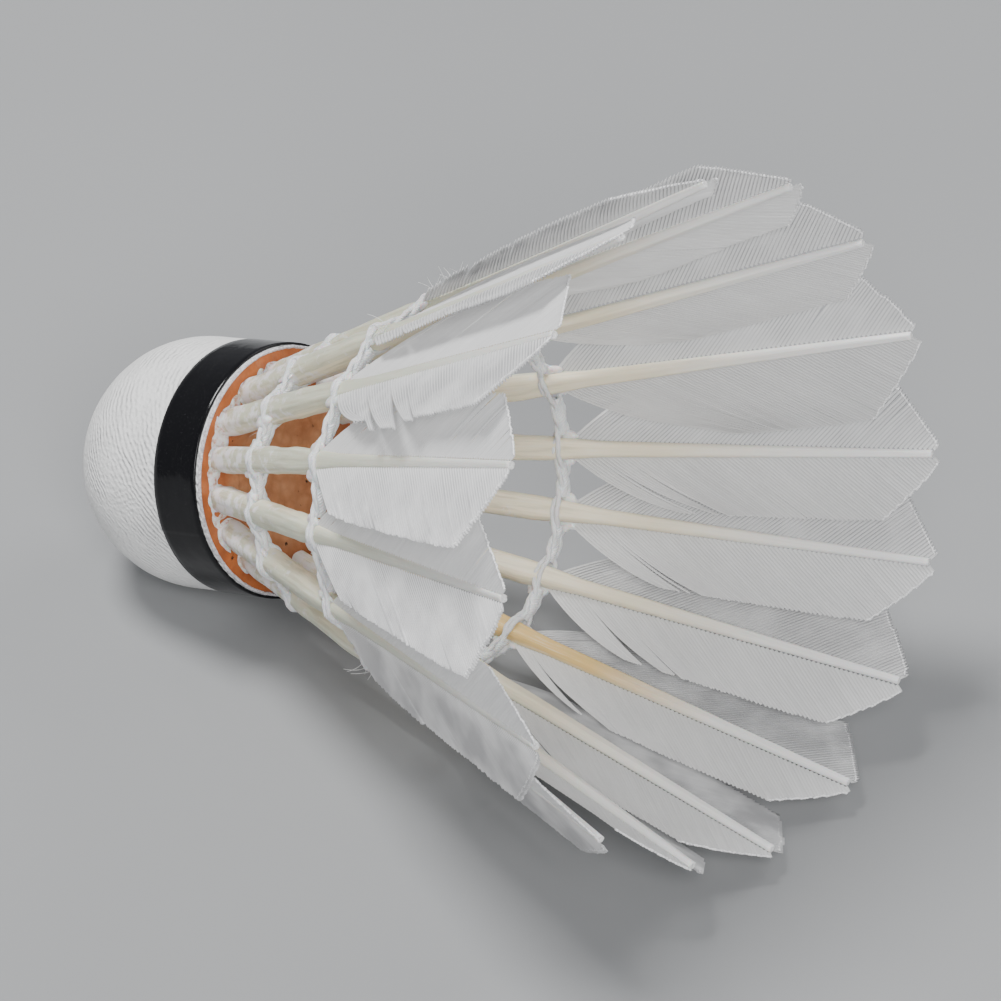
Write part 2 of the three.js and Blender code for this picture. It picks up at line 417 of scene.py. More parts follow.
def cork_paint():
    """Pressed cork: orange-brown grains, dark pores, and a glue-soaked outer ring."""
    paint = Paint("cork_grain", 0.7, Specular_IOR_Level=0.3)
    grains = paint.cells(paint.solid(), 0.9)
    cloud = paint.noise(paint.solid(), 0.5, 5, 0.6)
    fine = paint.noise(paint.solid(), 3.0, 4, 0.6)
    radius = paint.node("ShaderNodeSeparateXYZ", {"Vector": paint.flat()}).outputs["Y"]
    soaked = paint.span(radius, 7.4, 9.0)
    dry = paint.ramp(cloud, (0.3, (0.52, 0.20, 0.085)), (0.5, (0.64, 0.275, 0.125)),
                     (0.75, (0.72, 0.35, 0.18)))
    wet = paint.ramp(cloud, (0.3, (0.33, 0.085, 0.026)), (0.6, (0.50, 0.145, 0.042)),
                     (0.8, (0.58, 0.21, 0.075)))
    tone = paint.blend(soaked, dry, wet)
    grained = paint.blend(paint.span(grains, 0.25, 0.75, 0.0, 0.35), tone, (0.36, 0.13, 0.05))
    pores = paint.span(paint.noise(paint.solid(), 1.1, 2), 0.70, 0.76)
    paint.link(paint.blend(pores, grained, (0.06, 0.025, 0.012)), "Base Color")
    paint.link(paint.span(soaked, 0.0, 1.0, 0.75, 0.38), "Roughness")
    dents = paint.math("MULTIPLY", pores, -1.0)
    paint.bump((grains, 0.10), (fine, 0.05), (dents, 0.25))
    return paint.material


def shaft_paint(name, cream):
    """Horn of the shaft: glue-white at the cork, cream inside, greener outside, pale tip."""
    paint = Paint(name, 0.38, Subsurface_Weight=0.2, Subsurface_Scale=0.0005)
    parts = paint.node("ShaderNodeSeparateXYZ", {"Vector": paint.flat()})
    distance = parts.outputs["Y"]
    place_share = paint.span(distance, 0.0, 63.0)
    streak = paint.noise(paint.flat((3.2, 0.16, 1.0)), 1.0, 4, 0.6)
    inner = paint.ramp(place_share, (0.0, (0.80, 0.76, 0.62)), (0.25, cream), (0.52, cream),
                       (0.75, (0.88, 0.87, 0.83)), (0.9, (0.90, 0.90, 0.89)))
    outer = paint.ramp(place_share, (0.0, (0.58, 0.56, 0.42)), (0.3, (0.63, 0.64, 0.50)),
                       (0.55, (0.66, 0.67, 0.55)), (0.85, (0.80, 0.80, 0.76)))
    facing = paint.ramp(paint.span(parts.outputs["X"], 0.0, 7.0),
                        (0.0, (0.5, 0.5, 0.5)), (0.12, (1.0, 1.0, 1.0)),
                        (0.38, (1.0, 1.0, 1.0)), (0.55, (0.0, 0.0, 0.0)))
    tone = paint.blend(facing, inner, outer)
    fading = paint.span(distance, 12.0, 30.0, 0.55, 0.10)
    streaked = paint.math("MULTIPLY", paint.span(streak, 0.50, 0.36), fading)
    tone = paint.blend(streaked, tone, (0.42, 0.38, 0.25))
    tone = paint.blend(paint.span(streak, 0.56, 0.72, 0.0, 0.4), tone, (0.90, 0.88, 0.82))
    crust = paint.noise(paint.solid(), 0.9, 5, 0.6)
    near_cork = paint.span(distance, 26.0, 1.0)
    glue = paint.span(paint.math("ADD", crust, paint.math("MULTIPLY", near_cork, 0.30)),
                      0.70, 0.82, 0.0, 0.85)
    paint.link(paint.blend(glue, tone, (0.84, 0.81, 0.82)), "Base Color")
    paint.link(paint.span(streak, 0.3, 0.7, 0.30, 0.50), "Roughness")
    paint.bump((streak, 0.05), (crust, 0.06))
    return paint.material


def pith_paint():
    """Foamy white core that shows at a shaft's cut tip."""
    paint = Paint("shaft_pith", 0.85)
    foam = paint.cells(paint.solid(), 9.0)
    paint.link(paint.ramp(foam, (0.1, (0.80, 0.79, 0.76)), (0.6, (0.97, 0.97, 0.96))),
               "Base Color")
    paint.bump((foam, 0.08))
    return paint.material


def blade_paint(name, line_strength):
    """White barbs, thin enough to let light through, with a darker line of painted shade between
    them.
    """
    paint = Paint(name, 0.6, Specular_IOR_Level=0.3, Sheen_Weight=0.1)
    barb = paint.noise(paint.flat((0.9, 0.10, 1.0)), 1.0, 3)
    cloud = paint.noise(paint.solid(), 0.13, 3)
    tone = paint.ramp(barb, (0.3, (0.83, 0.83, 0.83)), (0.65, (0.91, 0.91, 0.91)))
    shade = paint.blend(paint.span(cloud, 0.4, 0.7, 0.0, 0.35), tone, (0.92, 0.92, 0.91))
    ridge = paint.wave(paint.flat(), BARB_WAVE, bands_direction="X")
    patch = paint.span(paint.noise(paint.solid(), 0.22, 2), 0.35, 0.6, 0.35, 1.0)
    # Painted shade: a darker line in the base colour where neighbouring barbs meet, in patches.
    line = paint.math("MULTIPLY", paint.span(ridge, 0.45, 0.0, 0.0, line_strength), patch)
    shade = paint.blend(line, shade, (0.40, 0.40, 0.41))
    paint.link(shade, "Base Color")
    paint.link(paint.span(barb, 0.3, 0.7, 0.5, 0.7), "Roughness")
    paint.bump((ridge, 0.05 * line_strength), (barb, 0.03))
    paint.translucent(0.2, shade)
    return paint.material


def cut_paint():
    """Cut ends of the barbs, packed side by side: bright, with painted shade in grey blotches for
    the fine gaps.
    """
    paint = Paint("blade_cut", 0.7)
    gaps = paint.noise(paint.solid(), 4.0, 3)
    # Painted shade: the grey end of this ramp darkens the fine gaps between the cut ends.
    paint.link(paint.ramp(gaps, (0.36, (0.62, 0.62, 0.63)), (0.5, (0.95, 0.95, 0.95))),
               "Base Color")
    paint.bump((gaps, 0.10))
    return paint.material


def thread_paint():
    """Cotton thread, glue-stiffened, with its fibres showing."""
    paint = Paint("cotton_thread", 0.75, Subsurface_Weight=0.15, Subsurface_Scale=0.0004)
    fibre = paint.wave(paint.flat((1.0, 0.55, 1.0), 0.6), 3.2, 2.5, bands_direction="X")
    soak = paint.noise(paint.solid(), 0.9, 4)
    tone = paint.ramp(soak, (0.35, (0.80, 0.80, 0.81)), (0.65, (0.93, 0.93, 0.93)))
    paint.link(paint.blend(paint.span(fibre, 0.0, 0.5, 0.3, 0.0), tone, (0.62, 0.62, 0.64)),
               "Base Color")
    paint.link(paint.span(soak, 0.3, 0.7, 0.5, 0.85), "Roughness")
    paint.bump((fibre, 0.05), (soak, 0.05))
    return paint.material


def glue_paint(name, tint):
    """Dried glue: milky, tinted where it is thin, and half glossy."""
    paint = Paint(name, 0.3, Subsurface_Weight=0.5, Subsurface_Scale=0.001,
                  Coat_Weight=0.25)
    cloud = paint.noise(paint.solid(), 1.4, 5, 0.65)
    paint.link(paint.ramp(cloud, (0.34, tint), (0.48, (0.80, 0.73, 0.71)),
                          (0.62, (0.88, 0.86, 0.87))), "Base Color")
    paint.link(paint.span(cloud, 0.3, 0.7, 0.22, 0.5), "Roughness")
    paint.bump((cloud, 0.18))
    return paint.material


def inner_cork_paint():
    """Plain cork of the hidden nose."""
    paint = Paint("nose_cork", 0.85)
    grains = paint.cells(paint.solid(), 0.5)
    paint.link(paint.ramp(grains, (0.2, (0.50, 0.27, 0.13)), (0.7, (0.62, 0.38, 0.21))),
               "Base Color")
    paint.bump((grains, 0.2))
    return paint.material


# ---------------------------------------------------------------- head


def cover_piece():
    """The skin: dome and wall, tucked under the band, with its felted top edge."""
    shape = Shape()
    under = HEAD_RADIUS - 0.22
    band_base = BAND_TOP - BAND_WIDTH
    steps = np.linspace(0, math.pi / 2, 90)
    radii = [HEAD_RADIUS * np.sin(steps), np.full(24, HEAD_RADIUS)]
    heights = [-WALL_HEIGHT - HEAD_RADIUS * np.cos(steps),
               np.linspace(-WALL_HEIGHT, band_base + 0.05, 25)[1:]]
    radii.append(np.array([HEAD_RADIUS - 0.08, under, under]))
    heights.append(np.array([band_base + 0.16, band_base + 0.22, 0.0]))
    radius = np.concatenate(radii)[:, None]
    height = np.concatenate(heights)[:, None]
    columns = 240
    angle = round_angles(columns)
    points = place(radius, height, angle[None, :])
    swell = 0.05 * ripple(points, 6.0, 3.0) + 0.015 * ripple(points, 1.3, 8.0)
    dome_centre = CENTRE - AXIS * WALL_HEIGHT
    away = points - dome_centre
    away /= np.linalg.norm(away, axis=-1)[..., None]
    points = points - np.abs(swell)[..., None] * away
    run = np.linspace(0, 1, len(radius))
    shape.grid(points, np.linspace(0, TAU * HEAD_RADIUS, columns + 1), run * 30, wrap=True)

    columns = 720
    angle = round_angles(columns)
    lip = np.linspace(-0.5 * math.pi, 1.1 * math.pi, 12)
    middle = under - RIM_WIDTH / 2
    half = RIM_WIDTH / 2
    radius = middle + half * np.cos(lip)[:, None]
    height = 0.02 + 0.26 * np.sin(lip)[:, None]
    points = place(radius, height, angle[None, :])
    fray = 0.10 * ripple(points, 0.35, 5.0) + 0.07 * ripple(points, 1.4, 9.0)
    lift = np.clip(np.sin(lip), 0, 1)[:, None]
    points = place(radius + fray * 0.8, height + fray * lift, angle[None, :])
    shape.grid(points, np.linspace(0, TAU * under, columns + 1), lip, wrap=True, slot=1)
    return shape.piece("skin_cover", [cover_paint(), fibre_paint()], "cover", "cork_cover",
                       weld=True)


def band_piece():
    """The black film round the head's wall, with the step where its ends overlap."""
    shape = Shape()
    columns = 420
    angle = round_angles(columns)
    base = BAND_TOP - BAND_WIDTH
    outer = HEAD_RADIUS + 0.06
    inner = HEAD_RADIUS - 0.2
    rounded = 0.06
    profile = [(inner, base), (outer - rounded, base), (outer, base + rounded)]
    profile += [(outer, base + rounded + (BAND_WIDTH - 2 * rounded) * step / 10)
                for step in range(1, 10)]
    profile += [(outer, BAND_TOP - rounded), (outer - rounded, BAND_TOP), (inner, BAND_TOP),
                (inner, base)]
    radius = np.array([corner[0] for corner in profile])[:, None]
    height = np.array([corner[1] for corner in profile])[:, None]
    seam = math.radians(84)
    lap_angle = math.radians(9)
    lap = np.clip((angle - seam) / lap_angle, 0, 1) * (angle < seam + lap_angle)
    points = place(radius + 0.05 * lap[None, :] * (radius > inner), height, angle[None, :])
    shape.grid(points, np.linspace(0, TAU * outer, columns + 1), height[:, 0], wrap=True)
    return shape.piece("film_band", [band_paint()], "band", "head_band", weld=True)


def cork_top_piece():
    """The flat top of the cork inside the skirt."""
    shape = Shape()
    columns = 260
    angle = round_angles(columns)
    edge = HEAD_RADIUS - 0.3 - RIM_WIDTH / 2
    radius = np.concatenate([np.linspace(0, edge, 74), [edge, edge]])
    seat = np.clip((SEAT_RADIUS + 0.6 - radius) / 0.6, 0, 1)
    height = -SEAT_DEPTH * seat * seat * (3 - 2 * seat)
    height[-2:] = [-0.5, -5.5]
    points = place(radius[:, None], height[:, None], angle[None, :])
    rise = 0.05 * ripple(points, 1.1, 2.0) + 0.06 * ripple(points, 4.0, 6.0)
    rise[-2:] = 0
    points = points + rise[..., None] * AXIS
    shape.grid(points, np.linspace(0, TAU * CORK_RADIUS, columns + 1), radius, wrap=True)
    return shape.piece("cork_face", [cork_paint()], "cork_layer", "cork_top_layer", weld=True)


def shaft_spots(height):
    """Radius and angle of every shaft at a height above the cork."""
    return [feather.at_height(height) for feather in feathers]


def root_glue_piece(glue):
    """Low collars of dried glue round the shafts, with smears on the cork between them."""
    shape = Shape()
    rng = np.random.default_rng(11)
    columns = 1100
    angle = round_angles(columns)
    radius = np.linspace(root_radius - 2.9, CORK_RADIUS + 0.2, 56)[:, None]
    grid_angle = np.broadcast_to(angle[None, :], (len(radius), columns))
    points = place(radius, 0.0, grid_angle)
    rough = ripple(points, 0.7, 4.0)
    height = np.full(grid_angle.shape, -0.35)
    for spot_radius, spot_angle in shaft_spots(0.4):
        turn = (grid_angle - spot_angle + math.pi) % TAU - math.pi
        gap = np.hypot(radius - spot_radius, turn * spot_radius) - 1.2
        climb = rng.uniform(0.35, 0.8)
        spread = rng.uniform(0.14, 0.22)
        collar = climb * np.exp(-np.clip(gap, 0, None) / spread) - 0.12
        height = np.maximum(height, collar + 0.10 * rough * np.exp(-2 * np.clip(gap, 0, 9)))
    film = 0.30 * ripple(points, 1.5, 14.0) + 0.08 * rough
    film -= 0.30 * np.clip(np.abs(radius - root_radius - 0.4) - 0.8, 0, None)
    height = np.maximum(height, np.minimum(film, 0.12))
    points = place(radius, height, grid_angle)
    shape.grid(points, np.linspace(0, TAU * root_radius, columns + 1), radius[:, 0], wrap=True)
    return shape.piece("root_glue_collars", [glue], "glue", "root_glue")


# ---------------------------------------------------------------- shafts


def shaft_piece(feather, materials):
    """A feather's shaft: boxy at the cork, then proud inside and narrow outside."""
    shape = Shape()
    rows, columns = 120, 24
    distance = np.linspace(-1.6, feather.length - 0.2, rows)
    angle = round_angles(columns)
    mean = shaft_radius(distance)[:, None]
    across = np.sign(np.cos(angle)) * np.abs(np.cos(angle)) ** 0.8
    outward = np.sign(np.sin(angle)) * np.abs(np.sin(angle)) ** 0.8
    bladed = np.interp(distance, [20, 32], [0, 1])[:, None]
    outer = np.clip(np.sin(angle), 0, 1)
    inner_groove = np.exp(-((angle - 1.5 * math.pi) / 0.28) ** 2)
    outer_groove = np.exp(-((angle - 0.42 * math.pi) / 0.22) ** 2)
    grooved = np.interp(distance, [8, 16], [0, 1])[:, None]
    depth = 1 - 0.14 * inner_groove * grooved - 0.10 * outer_groove
    x = mean * across * depth * (1 - 0.15 * outer * bladed)
    z = mean * outward * depth * (1 + bladed * np.where(outward > 0, -0.22, 0.22))
    y = np.broadcast_to(distance[:, None], x.shape)
    local = np.stack([x, y, z], axis=-1)
    seed = feather.number * 3.1
    crust = np.clip(ripple(local * [1, 0.6, 1], 1.7, seed) + 0.05, 0, 1)
    crust *= np.interp(distance, [1, 5, 21, 24], [0.20, 0.16, 0.12, 0.0])[:, None]
    wobble = 0.025 * ripple(local, 3.0, seed + 1)
    local[..., 0] *= 1 + crust + wobble
    local[..., 2] *= 1 + crust + wobble
    bow = 0.25 * math.sin(seed) * np.sin(math.pi * np.clip(distance, 0, None) / feather.length)
    local[..., 2] += bow[:, None] * 0.6
    round_map = np.linspace(0, 7, columns + 1)
    shape.grid(feather.put(local), round_map, distance, wrap=True)

    rim = local[-1]
    middle = rim.mean(axis=0)
    cap = np.stack([middle + (rim - middle) * share for share in (1, 0.8, 0.4, 0)])
    cap[1:, :, 1] += 0.05
    cap[2:, :, 1] -= 0.09
    shape.grid(feather.put(cap), round_map, np.array([0, 0.2, 0.4, 0.5]), wrap=True, slot=1)
    return shape.piece(feather.label + "_quill", materials, "shaft",
                       feather.label + "_shaft", weld=True)


# ---------------------------------------------------------------- blades


class Vane:
    """Sizes of one kind of half blade, as in the CAD model, and the lie of its barbs."""

    def __init__(self, side, width, tilt, camber, angles, bends, opening, relief, keel):
        self.side = side
        self.width = width
        self.tilt = math.radians(tilt)
        self.camber = camber
        self.angles = angles
        self.bends = bends
        self.opening = opening
        self.relief = relief
        self.keel = keel

    def reach(self, distance, length):
        """Width of the half blade at a distance along the shaft."""
        share = np.clip((distance - BLADE_START) / (length - BLADE_START), 0, 1)
        quick = 1 - (1 - share) ** 12
        opening = share + (quick - share) * self.opening
        return BLADE_BASE + (self.width - BLADE_BASE) * opening * (1 - 0.2 * share ** 9)


# The half over the next feather, coarsely ribbed, and the smooth half under the last one.
OVER = Vane(side=1, width=8.1, tilt=15, camber=0.004, angles=[42, 42, 43, 46],
            bends=[1.6, 1.0, 0.5], opening=0.4, relief=0.07, keel=0.11)
UNDER = Vane(side=-1, width=6.2, tilt=3, camber=0.011, angles=[37, 36, 38, 40],
             bends=[1.9, 1.1, 0.4], opening=0.75, relief=0.006, keel=0.012)
# A smooth half that is broader than the rest.
WIDE_UNDER = Vane(side=-1, width=8.0, tilt=3, camber=0.011, angles=[37, 36, 38, 40],
                  bends=[1.7, 1.0, 0.4], opening=0.75, relief=0.006, keel=0.012)

# Feathers that differ: broad smooth halves, ribs that stand out, raised barbs, amber shaft.
BROAD_FEATHERS = (2, 8, 13)
COARSE_FEATHERS = (1, 2, 5, 6, 15, 16)
RAISED_FEATHERS = (3, 4)
AMBER_FEATHER = 9
# End cuts that differ from END_CUT, by feather and side.
END_CUTS = {(6, 1): 11.0, (6, -1): 9.0, (5, 1): 7.5, (13, -1): 7.5}
# Splits between barbs: place along the shaft and opening in degrees.
SPLITS = {
    (2, 1): [(33.5, 7.0), (36.5, 3.0)],
    (12, 1): [(53.0, 2.5), (54.8, 4.0)],
    (13, 1): [(29.5, 3.0), (50.3, 9.0), (60.2, 5.0)],
    (14, 1): [(52.0, 2.0)],
    (9, 1): [(40.0, 2.0)],
    (4, 1): [(34.0, 2.0), (46.0, 2.0)],
    (3, 1): [(33.0, 2.0), (41.0, 1.5)],
    (5, 1): [(38.0, 1.5)],
    (13, -1): [(60.2, 4.0)],
    (12, -1): [(26.6, 3.0), (29.2, 2.0)],
    (11, -1): [(27.5, 2.0)],
    (10, -1): [(27.6, 4.5)],
    (9, -1): [(25.8, 5.0)],
    (8, -1): [(29.0, 2.0)],
}
# Barbs that outgrow the outline: first and last place along the shaft, and extra length.
LONG_BARBS = {(2, 1): [(28.0, 33.5, 2.6), (33.5, 36.5, 1.2)], (14, 1): [(43.0, 43.6, 0.8)]}
# Downy tufts: distances along the shaft where they grow, and how many fibres each has.
TUFTS = {(16, 1): ((25.5, 29.5), 16), (15, 1): ((26.0,), 10), (1, 1): ((25.0,), 8),
         (6, 1): ((24.0,), 8)}


class HalfBlade:
    """Barbs on one side of a feather's shaft."""

    def __init__(self, feather, vane):
        self.feather = feather
        self.vane = vane
        self.rng = np.random.default_rng(feather.number * 10 + (vane.side > 0))
        self.wave_length = self.rng.uniform(22, 38)
        self.wave_phase = self.rng.uniform(0, TAU)

    def limits(self, x, y):
        """Room left to the side outline and to the cut end, at points of the blade."""
        inner = shaft_radius(y) + BLADE_GAP
        outwards = np.clip((x - inner) / self.vane.width, 0, 1)
        cut = END_CUTS.get((self.feather.number, self.vane.side), END_CUT)
        end = self.feather.length + 0.1 - cut * outwards ** 1.15
        return self.vane.reach(y, self.feather.length) + inner - x, end - y

    def surface(self, x, y):
        """Height of the blade over the shaft's own plane."""
        wave = np.sin(TAU * y / self.wave_length + self.wave_phase)
        edge = x / self.vane.width
        rise = 0.5 * shaft_radius(y) * np.exp(-x / 3.0)
        return rise - self.vane.camber * x * x + 0.14 * wave * edge ** 1.5

    def lean(self, starts):
        """Sideways lean and lift of every barb, in bundles that part at the blade's base."""
        count = len(starts)
        lean = np.zeros(count)
        lift = np.zeros(count)
        bundle_end = 0
        for index in range(count):
            if index >= bundle_end:
                loose = np.interp(starts[index], [BLADE_START, 28, 32], [1.0, 0.6, 0.05])
                spread = 3.0 if self.vane.side > 0 else 0.7
                bundle_lean = self.rng.normal(0, spread * loose)
                bundle_lift = self.rng.normal(0, 0.10 * loose + 0.012)
                bundle_end = index + int(self.rng.integers(3, 8 + int(16 * (1 - loose))))
            lean[index] = bundle_lean + self.rng.normal(0, 0.10)
            lift[index] = bundle_lift
            if self.feather.number in RAISED_FEATHERS and self.rng.random() < 0.1:
                lift[index] += 0.16
        for start, width in SPLITS.get((self.feather.number, self.vane.side), []):
            beyond = starts - start
            reach = np.exp(-np.abs(beyond) / 1.8)
            lean += np.where(beyond > 0, -0.5, 0.5) * width * reach
        return lean, lift

    def extra_length(self, start):
        """How far a barb outgrows the outline."""
        extra = self.rng.uniform(-0.06, 0.2)
        for first, last, more in LONG_BARBS.get((self.feather.number, self.vane.side), []):
            if first <= start < last:
                extra += more
        return extra

    def barb(self, start, lean, lift):
        """Centre line, half width and ridge height along one barb."""
        run = np.linspace(0, 20, 101)
        first_angle = np.interp(start, BARB_PLACES, self.vane.angles)
        bend = np.interp(start, BARB_PLACES[:3], self.vane.bends)
        angle = first_angle - bend * np.clip(run, 0, 12)
        angle = np.radians(angle + lean * np.clip((run - 0.8) / 5, 0, 1.4))
        angle = np.clip(angle, math.radians(8), None)
        step = run[1] - run[0]
        x = shaft_radius(start) * 0.75 + np.cumsum(np.sin(angle)) * step
        y = start + np.cumsum(np.cos(angle)) * step
        side_room, end_room = self.limits(x, y)
        held = (side_room > 0) & (end_room > 0)
        stop = int(np.argmin(held)) if not held.all() else len(run) - 1
        is_cut = side_room[stop] > 0
        smooth_edge = self.vane.side < 0
        extra = TOOTH if is_cut else self.extra_length(start) * (0.3 if smooth_edge else 1.0)
        whole = run[stop] + extra
        tooth = 0.1 if smooth_edge else TOOTH
        ends = np.append(np.linspace(0, max(whole - tooth, 0.1), 9), whole)
        x, y, angle = (np.interp(ends, run, values) for values in (x, y, angle))
        half = 0.5 * BARB_PITCH * np.sin(angle) * 1.03
        half[-1] *= 0.9 if smooth_edge else 0.3
        z = self.surface(x, y) + lift * np.clip(ends / 8, 0, 1.2)
        return x, y, z, angle, half, ends, is_cut

    def build(self, shape):
        """Adds every barb, and the bead along the cut end, to the feather's shape."""
        starts = np.arange(BLADE_START - 0.6, self.feather.length, BARB_PITCH)
        lean, lift = self.lean(starts)
        cut_ends = []
        for index, start in enumerate(starts):
            x, y, z, angle, half, ends, is_cut = self.barb(start, lean[index], lift[index])
            if ends[-1] < 0.3:
                continue
            grow = np.interp(ends, [0, 2, 8], [0.25, 0.7, 1.15])
            coarse = 1.9 if self.feather.number in COARSE_FEATHERS else 1.0
            ridge = self.vane.relief * grow * coarse
            keel = self.vane.keel * grow
            columns = []
            for edge, level in ((-1, -ridge), (1, ridge), (1, -ridge - keel)):
                px = x - edge * half * np.cos(angle)
                py = y + edge * half * np.sin(angle)
                columns.append(np.stack([self.vane.side * px, py, z + level], axis=-1))
            points = self.tilted(np.stack(columns, axis=1))
            if self.vane.side < 0:
                points = points[:, ::-1]
            shape.grid(self.feather.put(points), np.array([0.0, 0.9, 1.0]) + index, ends)
            if is_cut:
                cut_ends.append([self.vane.side * x[-2], y[-2], z[-2]])
        self.add_cut_edge(shape, self.tilted(np.array(cut_ends)))

    def add_cut_edge(self, shape, ends):
        """A lumpy bead along the cut end, where the barbs show their thickness."""
        steps = np.linspace(0, len(ends) - 1, len(ends) * 4)
        knots = np.arange(len(ends))
        path = np.stack([np.interp(steps, knots, ends[:, part]) for part in range(3)], axis=1)
        radius = 0.11 + 0.03 * np.cos(steps * TAU) + 0.02 * np.sin(steps * 2.1)
        shape.tube(self.feather.put(path), radius, 6, slot=1)

    def tilted(self, points):
        """Turns the half blade about its shaft."""
        cosine, sine = math.cos(self.vane.tilt), math.sin(self.vane.tilt)
        x, y, z = points[..., 0], points[..., 1], points[..., 2]
        return np.stack([x * cosine - z * sine, y, z * cosine + x * sine], axis=-1)


def blade_piece(feather, vane, materials):
    """One half of a feather's blade, with any tuft that grows on it."""
    shape = Shape()
    HalfBlade(feather, vane).build(shape)
    name = "over" if vane.side > 0 else "under"
    if (feather.number, vane.side) in TUFTS:
        add_tuft(shape, feather, *TUFTS[feather.number, vane.side])
    return shape.piece(f"{feather.label}_{name}_barbs", materials, "blade",
                       f"{feather.label}_vane_{name}")


def add_fibre(shape, start, direction, length, curl, rng, radius=0.045):
    """One fine fibre that curls as it grows."""
    heading = direction / np.linalg.norm(direction)
    swing = np.cross(heading, rng.normal(size=3))
    swing /= np.linalg.norm(swing)
    path = [start]
    for _ in range(FIBRE_STEPS):
        heading = heading + swing * curl / FIBRE_STEPS
        heading /= np.linalg.norm(heading)
        path.append(path[-1] + heading * length / FIBRE_STEPS)
    shape.tube(np.array(path), radius * np.linspace(1.2, 0.5, FIBRE_STEPS + 1), 4)


def add_tuft(shape, feather, distances, count):
    """Curly down on the outside of a shaft, just past its bare part."""
    rng = np.random.default_rng(feather.number)
    for distance in distances:
        for _ in range(count):
            local = np.array([rng.uniform(-0.6, 0.9), distance + rng.uniform(-1.2, 1.2), 0.6])
            away = np.array([rng.uniform(-0.4, 1.0), rng.uniform(0.2, 1.2), 1.0])
            start = feather.put(local)
            heading = feather.put(local + away) - start
            add_fibre(shape, start, heading, rng.uniform(1.5, 3.0), 3.0, rng)


# ---------------------------------------------------------------- thread


def smooth(share):
    """A share from 0 to 1, eased at both ends."""
    share = np.clip(share, 0, 1)
    return share * share * (3 - 2 * share)


def thread_run(height):
    """For every step round a row: shares between shafts, and radius and angle there."""
    spots = shaft_spots(height)
    rows = []
    for index in range(FEATHERS):
        radius, angle = spots[index]
        next_radius, next_angle = spots[(index + 1) % FEATHERS]
        pitch = (next_angle - angle) % TAU
        for step in range(STRAND_STEPS):
            share = step / STRAND_STEPS
            chord = math.cos(pitch / 2) / math.cos(pitch * (share - 0.5))
            middle = (radius + (next_radius - radius) * share) * (0.5 + 0.5 * chord)
            near = min(share, 1 - share) * pitch * radius
            rows.append((index, share, near, middle, angle + pitch * share))
    rows.append(rows[0])
    return np.array(rows).T


def wander(angle, height):
    """How far a row strays up and down on its way round, in millimetres."""
    return 0.14 * np.sin(angle * 5 + height) + 0.10 * np.sin(angle * 9 + height)


def thread_strand(height, outer, member):
    """Path of one strand: it passes outside the shafts or inside them."""
    index, share, near, middle, angle = thread_run(height)
    clear = float(shaft_radius(height / CONE_COSINE)) + STRAND_RADIUS * 0.7
    midway = smooth(near / 2.4)
    if outer:
        out = clear * (1 - 0.62 * midway)
        spread = 0.20
    else:
        out = clear * (0.62 * midway - 0.9)
        spread = 0.30
    twist = TAU * (1.5 * share + member / 2) + index
    bundle = STRAND_RADIUS * 0.85 * midway
    rise = (1 - midway) * spread * (2 * member - 1) + bundle * np.sin(twist)
    rise = rise + wander(angle, height)
    return place(middle + out + bundle * np.cos(twist), height + rise, angle)


def thread_piece(name, height, material):
    """A row of thread: four strands, drawn into one cord between the shafts."""
    shape = Shape()
    rng = np.random.default_rng(int(height))
    for outer in (True, False):
        for member in (0, 1):
            path = thread_strand(height, outer, member)
            shape.tube(path, STRAND_RADIUS, 10, turns=3.0, ridge=0.10)
    index, _, near, middle, angle = thread_run(height)
    soaked = 0.30 + 0.30 * smooth((near - 0.8) / 1.4) * (0.75 + 0.25 * np.sin(index * 4.1))
    core = place(middle, height + wander(angle, height), angle)
    soaked = soaked + 0.10 * ripple(core, 0.9, height)
    for number in range(FEATHERS):
        part = slice(number * STRAND_STEPS + 8, (number + 1) * STRAND_STEPS - 7)
        shape.tube(core[part], soaked[part], 12, turns=1.2, ridge=0.08)
    for _ in range(THREAD_HAIRS):
        start = core[int(rng.integers(0, len(core) - 1))]
        heading = rng.normal(size=3) + (start - CENTRE) / 12
        add_fibre(shape, start, heading, rng.uniform(0.7, 1.9), 2.0, rng, 0.022)
    return shape.piece(name + "_strands", [material], "thread", name)


def thread_glue_piece(glue):
    """Webs of dried glue in the corners between the threads and the shafts."""
    shape = Shape()
    rng = np.random.default_rng(5)
    rows, columns = 12, 18
    polar = np.linspace(0, math.pi, rows)[:, None]
    turn = round_angles(columns)[None, :]
    ball = np.stack([np.sin(polar) * np.cos(turn), np.sin(polar) * np.sin(turn),
                     np.cos(polar) * np.ones_like(turn)], axis=-1)
    for height in THREAD_HEIGHTS.values():
        for feather in feathers:
            for side in (-1, 1):
                distance = height / CONE_COSINE + rng.uniform(-0.5, 0.5)
                mean = float(shaft_radius(distance))
                size = [rng.uniform(0.5, 0.85), rng.uniform(0.9, 1.5), rng.uniform(0.3, 0.5)]
                web = ball * size
                web *= 1 + 0.35 * ripple(web, 0.6, feather.number + height + side)[..., None]
                web += [side * (mean + 0.15), distance, mean * 0.35]
                shape.grid(feather.put(web), np.linspace(0, 4, columns + 1), polar[:, 0],
                           wrap=True)
    return shape.piece("thread_glue_webs", [glue], "glue", weld=True)


# ---------------------------------------------------------------- stage


def floor_paint():
    """A pale grey floor, very slightly cloudy."""
    paint = Paint("pale_floor", 0.8)
    cloud = paint.noise(paint.solid((0.01, 0.01, 0.01)), 1.0, 3)
    paint.link(paint.ramp(cloud, (0.3, (0.285, 0.29, 0.295)), (0.7, (0.30, 0.305, 0.31))),
               "Base Color")
    return paint.material


def make_floor():
    """The pale floor under the object."""
    corners = [(-1, -1), (1, -1), (1, 1), (-1, 1)]
    mesh = bpy.data.meshes.new("floor")
    mesh.from_pydata([(x * FLOOR_HALF, y * FLOOR_HALF, 0) for x, y in corners], [],
                     [(0, 1, 2, 3)])
    mesh.materials.append(floor_paint())
    floor = bpy.data.objects.new("floor", mesh)
    bpy.context.scene.collection.objects.link(floor)


